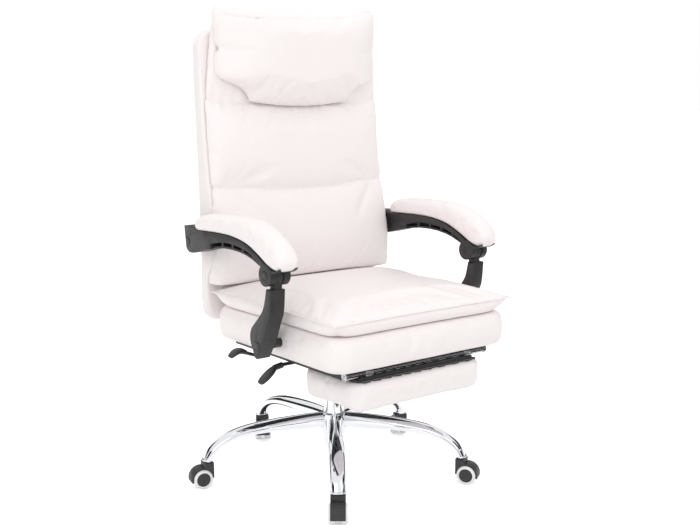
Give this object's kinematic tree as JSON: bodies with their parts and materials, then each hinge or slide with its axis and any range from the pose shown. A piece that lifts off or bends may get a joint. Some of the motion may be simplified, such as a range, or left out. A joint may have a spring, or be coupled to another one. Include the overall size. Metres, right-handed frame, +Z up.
{
  "type": "reclining office chair",
  "caption": "High-backed white office armchair: reclining back with head pillow, linked arms that stay level, pull-out footrest that turns over, chromed star base on twin-wheel casters.",
  "frame": {"origin": "on the floor, under the axis of the gas lift's column, which is close to the middle of the bounding box", "axes": "+Z up; the chair faces -Y; +X points to the sitter's left"},
  "size_m": [0.6726, 0.6673, 1.1],
  "materials": {
    "upholstery": "smooth matte white upholstery with a faint pink tint",
    "black_plastic": "fine-grained charcoal moulding",
    "lever_plastic": "satin dark grey moulding",
    "chrome": "polished chrome plate",
    "black_steel": "black enamel",
    "zinc_steel": "zinc-plated steel",
    "board_cloth": "black lining cloth over a board",
    "white_tyre": "white tread on a black wheel"
  },
  "bodies": {
    "base": {"star_base": "chrome", "column_tube": "chrome", "thrust_bearing": "zinc_steel", "retaining_clip": "zinc_steel"},
    "piston": {"piston_rod": "zinc_steel"},
    "seat": {"pressure_tube": "black_steel", "seat_mechanism": "black_steel", "seat_board": "board_cloth", "seat_base_cushion": "upholstery", "seat_pad": "upholstery", "footrest_guide_left": "black_steel", "footrest_guide_right": "black_steel", "seat_hinge_plate_left": "black_steel", "seat_hinge_plate_right": "black_steel", "arm_post_bolt_left": "black_steel", "arm_post_bolt_right": "black_steel", "strut_cylinder": "black_steel"},
    "height_lever": {"height_lever": "lever_plastic"},
    "recline_lever": {"recline_lever": "lever_plastic"},
    "footrest_frame": {"footrest_frame": "chrome", "footrest_bar_cap_left": "zinc_steel", "footrest_bar_cap_right": "zinc_steel"},
    "footrest": {"footrest_board": "board_cloth", "footrest_pad": "upholstery", "footrest_clip_left": "zinc_steel", "footrest_clip_right": "zinc_steel"},
    "backrest": {"back_board": "board_cloth", "back_shell": "upholstery", "back_cushion": "upholstery", "headrest_pillow": "upholstery", "back_hinge_plate_left": "black_steel", "back_hinge_plate_right": "black_steel", "arm_rear_bolt_left": "black_steel", "arm_rear_bolt_right": "black_steel"},
    "strut_rod": {"strut_rod": "zinc_steel"},
    "arm_left": {"arm_frame_left": "black_plastic", "arm_pad_left": "upholstery", "arm_knuckle_pin_left": "black_steel"},
    "post_left": {"arm_post_left": "black_plastic"},
    "arm_right": {"arm_frame_right": "black_plastic", "arm_pad_right": "upholstery", "arm_knuckle_pin_right": "black_steel"},
    "post_right": {"arm_post_right": "black_plastic"},
    "caster_1": {"caster_hood_1": "black_plastic"},
    "wheel_1a": {"caster_wheel_1a": "white_tyre"},
    "wheel_1b": {"caster_wheel_1b": "white_tyre"},
    "caster_2": {"caster_hood_2": "black_plastic"},
    "wheel_2a": {"caster_wheel_2a": "white_tyre"},
    "wheel_2b": {"caster_wheel_2b": "white_tyre"},
    "caster_3": {"caster_hood_3": "black_plastic"},
    "wheel_3a": {"caster_wheel_3a": "white_tyre"},
    "wheel_3b": {"caster_wheel_3b": "white_tyre"},
    "caster_4": {"caster_hood_4": "black_plastic"},
    "wheel_4a": {"caster_wheel_4a": "white_tyre"},
    "wheel_4b": {"caster_wheel_4b": "white_tyre"},
    "caster_5": {"caster_hood_5": "black_plastic"},
    "wheel_5a": {"caster_wheel_5a": "white_tyre"},
    "wheel_5b": {"caster_wheel_5b": "white_tyre"}
  },
  "joints": [
    {"name": "seat_swivel", "type": "hinge", "parent": "base", "child": "piston", "pos_m": [0, 0, 0.079], "axis": [0, 0, 1], "continuous": true},
    {"name": "seat_lift", "type": "slide", "parent": "piston", "child": "seat", "axis": [0, 0, 1], "range_m": [0, 0.08]},
    {"name": "height_lever_pull", "type": "hinge", "parent": "seat", "child": "height_lever", "pos_m": [-0.15, 0.032, 0.311], "axis": [0, 1, 0], "range_deg": [0, 5], "stiffness_Nm_per_rad": 1.5},
    {"name": "recline_lever_pull", "type": "hinge", "parent": "seat", "child": "recline_lever", "pos_m": [-0.15, -0.08, 0.311], "axis": [0, 1, 0], "range_deg": [0, 5], "stiffness_Nm_per_rad": 1.5},
    {"name": "footrest_slide", "type": "slide", "parent": "seat", "child": "footrest_frame", "axis": [0, -1, 0], "range_m": [0, 0.28]},
    {"name": "footrest_turn", "type": "hinge", "parent": "footrest_frame", "child": "footrest", "pos_m": [0, -0.3, 0.33], "axis": [-1, 0, 0], "range_deg": [0, 180]},
    {"name": "back_recline", "type": "hinge", "parent": "seat", "child": "backrest", "pos_m": [0, 0.174, 0.396], "axis": [-1, 0, 0], "range_deg": [0, 40]},
    {"name": "strut_stroke", "type": "slide", "parent": "seat", "child": "strut_rod", "axis": [0, -1, 0], "range_m": [0, 0.0505]},
    {"name": "arm_pivot_left", "type": "hinge", "parent": "backrest", "child": "arm_left", "pos_m": [0.2795, 0.158, 0.568], "axis": [-1, 0, 0], "range_deg": [-38, 0]},
    {"name": "post_pivot_left", "type": "hinge", "parent": "seat", "child": "post_left", "pos_m": [0.2795, -0.14, 0.38], "axis": [-1, 0, 0], "range_deg": [0, 43]},
    {"name": "arm_pivot_right", "type": "hinge", "parent": "backrest", "child": "arm_right", "pos_m": [-0.2795, 0.158, 0.568], "axis": [-1, 0, 0], "range_deg": [-38, 0]},
    {"name": "post_pivot_right", "type": "hinge", "parent": "seat", "child": "post_right", "pos_m": [-0.2795, -0.14, 0.38], "axis": [-1, 0, 0], "range_deg": [0, 43]},
    {"name": "caster_swivel_1", "type": "hinge", "parent": "base", "child": "caster_1", "pos_m": [-0.18118, -0.254, 0.06], "axis": [0, 0, 1], "continuous": true},
    {"name": "wheel_roll_1a", "type": "hinge", "parent": "caster_1", "child": "wheel_1a", "pos_m": [-0.19041, -0.26582, 0.0225], "axis": [0.788, -0.6157, 0], "continuous": true},
    {"name": "wheel_roll_1b", "type": "hinge", "parent": "caster_1", "child": "wheel_1b", "pos_m": [-0.19041, -0.26582, 0.0225], "axis": [0.788, -0.6157, 0], "continuous": true},
    {"name": "caster_swivel_2", "type": "hinge", "parent": "base", "child": "caster_2", "pos_m": [0.18558, -0.2508, 0.06], "axis": [0, 0, 1], "continuous": true},
    {"name": "wheel_roll_2a", "type": "hinge", "parent": "caster_2", "child": "wheel_2a", "pos_m": [0.19353, -0.26352, 0.0225], "axis": [0.848, 0.5299, 0], "continuous": true},
    {"name": "wheel_roll_2b", "type": "hinge", "parent": "caster_2", "child": "wheel_2b", "pos_m": [0.19353, -0.26352, 0.0225], "axis": [0.848, 0.5299, 0], "continuous": true},
    {"name": "caster_swivel_3", "type": "hinge", "parent": "base", "child": "caster_3", "pos_m": [0.29588, 0.099, 0.06], "axis": [0, 0, 1], "continuous": true},
    {"name": "wheel_roll_3a", "type": "hinge", "parent": "caster_3", "child": "wheel_3a", "pos_m": [0.30292, 0.11224, 0.0225], "axis": [-0.8829, 0.4695, 0], "continuous": true},
    {"name": "wheel_roll_3b", "type": "hinge", "parent": "caster_3", "child": "wheel_3b", "pos_m": [0.30292, 0.11224, 0.0225], "axis": [-0.8829, 0.4695, 0], "continuous": true},
    {"name": "caster_swivel_4", "type": "hinge", "parent": "base", "child": "caster_4", "pos_m": [-0.00272, 0.31199, 0.06], "axis": [0, 0, 1], "continuous": true},
    {"name": "wheel_roll_4a", "type": "hinge", "parent": "caster_4", "child": "wheel_4a", "pos_m": [-0.01022, 0.299, 0.0225], "axis": [0.866, -0.5, 0], "continuous": true},
    {"name": "wheel_roll_4b", "type": "hinge", "parent": "caster_4", "child": "wheel_4b", "pos_m": [-0.01022, 0.299, 0.0225], "axis": [0.866, -0.5, 0], "continuous": true},
    {"name": "caster_swivel_5", "type": "hinge", "parent": "base", "child": "caster_5", "pos_m": [-0.29756, 0.09382, 0.06], "axis": [0, 0, 1], "continuous": true},
    {"name": "wheel_roll_5a", "type": "hinge", "parent": "caster_5", "child": "wheel_5a", "pos_m": [-0.31217, 0.09719, 0.0225], "axis": [-0.225, -0.9744, 0], "continuous": true},
    {"name": "wheel_roll_5b", "type": "hinge", "parent": "caster_5", "child": "wheel_5b", "pos_m": [-0.31217, 0.09719, 0.0225], "axis": [-0.225, -0.9744, 0], "continuous": true}
  ],
  "couplings": [
    {"joint": "footrest_turn", "follows": "footrest_slide", "rad_per_m": 11.219},
    {"joint": "strut_stroke", "follows": "back_recline", "m_per_rad": 0.0715},
    {"joint": "arm_pivot_left", "follows": "back_recline", "ratio": -0.9392},
    {"joint": "post_pivot_left", "follows": "back_recline", "ratio": 1.0617},
    {"joint": "arm_pivot_right", "follows": "back_recline", "ratio": -0.9392},
    {"joint": "post_pivot_right", "follows": "back_recline", "ratio": 1.0617}
  ]
}
